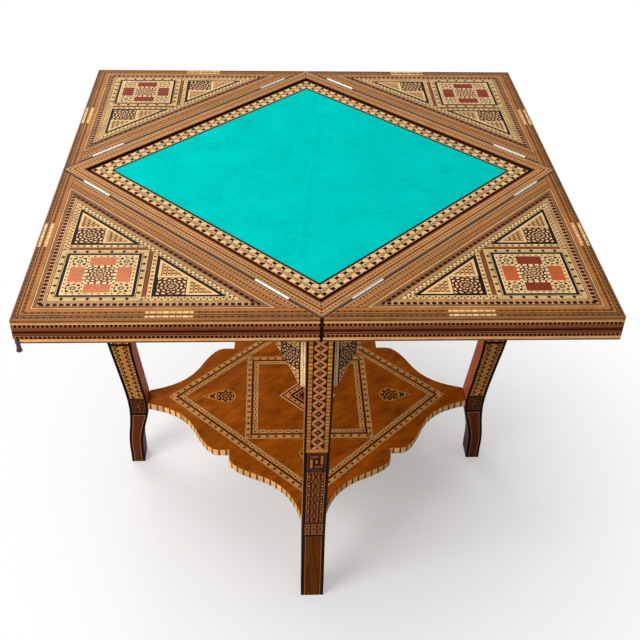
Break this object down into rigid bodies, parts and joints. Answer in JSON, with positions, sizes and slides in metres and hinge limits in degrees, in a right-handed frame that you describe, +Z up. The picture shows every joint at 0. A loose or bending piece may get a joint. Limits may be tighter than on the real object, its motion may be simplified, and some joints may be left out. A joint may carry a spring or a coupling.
{
  "type": "folding game table",
  "caption": "Square inlaid game table whose triangular hinged leaves fold over a baize playing board, on sabre legs with arched aprons and a scalloped shelf.",
  "frame": {"origin": "on the floor under the middle of the table", "axes": "+Z up, -Y towards the viewer in the picture, legs on the X and Y axes"},
  "size_m": [0.9318, 0.9318, 0.7527],
  "materials": {
    "inlaid_wood": "satin marquetry",
    "satin_wood": "satin varnish",
    "plain_wood": "plain",
    "baize": "matt baize",
    "hinge_metal": "worn nickel",
    "pull_wood": "satin"
  },
  "bodies": {
    "base": {"right_leg": "inlaid_wood", "right_corner_block": "plain_wood", "back_leg": "inlaid_wood", "back_corner_block": "plain_wood", "left_leg": "inlaid_wood", "left_corner_block": "plain_wood", "front_leg": "inlaid_wood", "front_corner_block": "plain_wood", "back_right_apron": "inlaid_wood", "back_right_frame_rail": "inlaid_wood", "back_right_hinge_1_frame_plate": "hinge_metal", "back_right_hinge_2_frame_plate": "hinge_metal", "back_left_apron": "inlaid_wood", "back_left_frame_rail": "inlaid_wood", "back_left_hinge_1_frame_plate": "hinge_metal", "back_left_hinge_2_frame_plate": "hinge_metal", "front_left_apron": "inlaid_wood", "front_left_frame_rail": "inlaid_wood", "front_left_hinge_1_frame_plate": "hinge_metal", "front_left_hinge_2_frame_plate": "hinge_metal", "front_right_apron": "inlaid_wood", "front_right_frame_rail": "inlaid_wood", "front_right_hinge_1_frame_plate": "hinge_metal", "front_right_hinge_2_frame_plate": "hinge_metal", "shelf": "satin_wood", "well_floor": "plain_wood", "board_ledge": "plain_wood"},
    "board": {"playing_board": "inlaid_wood", "baize": "baize"},
    "back_right_leaf": {"back_right_hinge_1_leaf_plate": "hinge_metal", "back_right_hinge_2_leaf_plate": "hinge_metal", "back_right_leaf_play_panel": "inlaid_wood", "back_right_leaf_hinge_rail": "plain_wood", "back_right_leaf_right_rail": "inlaid_wood", "back_right_leaf_back_rail": "inlaid_wood", "back_right_leaf_outer_panel": "inlaid_wood"},
    "back_left_leaf": {"back_left_hinge_1_leaf_plate": "hinge_metal", "back_left_hinge_2_leaf_plate": "hinge_metal", "back_left_leaf_play_panel": "inlaid_wood", "back_left_leaf_hinge_rail": "plain_wood", "back_left_leaf_back_rail": "inlaid_wood", "back_left_leaf_left_rail": "inlaid_wood", "back_left_leaf_outer_panel": "inlaid_wood"},
    "front_left_leaf": {"front_left_hinge_1_leaf_plate": "hinge_metal", "front_left_hinge_2_leaf_plate": "hinge_metal", "front_left_leaf_play_panel": "inlaid_wood", "front_left_leaf_hinge_rail": "plain_wood", "front_left_leaf_left_rail": "inlaid_wood", "front_left_leaf_front_rail": "inlaid_wood", "front_left_leaf_outer_panel": "inlaid_wood", "corner_pull": "pull_wood"},
    "front_right_leaf": {"front_right_hinge_1_leaf_plate": "hinge_metal", "front_right_hinge_2_leaf_plate": "hinge_metal", "front_right_leaf_play_panel": "inlaid_wood", "front_right_leaf_hinge_rail": "plain_wood", "front_right_leaf_front_rail": "inlaid_wood", "front_right_leaf_right_rail": "inlaid_wood", "front_right_leaf_outer_panel": "inlaid_wood"}
  },
  "joints": [
    {"name": "back_right_leaf_fold", "type": "hinge", "parent": "base", "child": "back_right_leaf", "pos_m": [0.23334, 0.23334, 0.7503], "axis": [0.7071, -0.7071, 0], "range_deg": [0, 180]},
    {"name": "back_left_leaf_fold", "type": "hinge", "parent": "base", "child": "back_left_leaf", "pos_m": [-0.23334, 0.23334, 0.7503], "axis": [0.7071, 0.7071, 0], "range_deg": [0, 180]},
    {"name": "front_left_leaf_fold", "type": "hinge", "parent": "base", "child": "front_left_leaf", "pos_m": [-0.23334, -0.23334, 0.7503], "axis": [-0.7071, 0.7071, 0], "range_deg": [0, 180]},
    {"name": "front_right_leaf_fold", "type": "hinge", "parent": "base", "child": "front_right_leaf", "pos_m": [0.23334, -0.23334, 0.7503], "axis": [-0.7071, -0.7071, 0], "range_deg": [0, 180]},
    {"name": "board_lift", "type": "slide", "parent": "base", "child": "board", "axis": [0, 0, -1], "range_m": [-0.06, 0]}
  ]
}
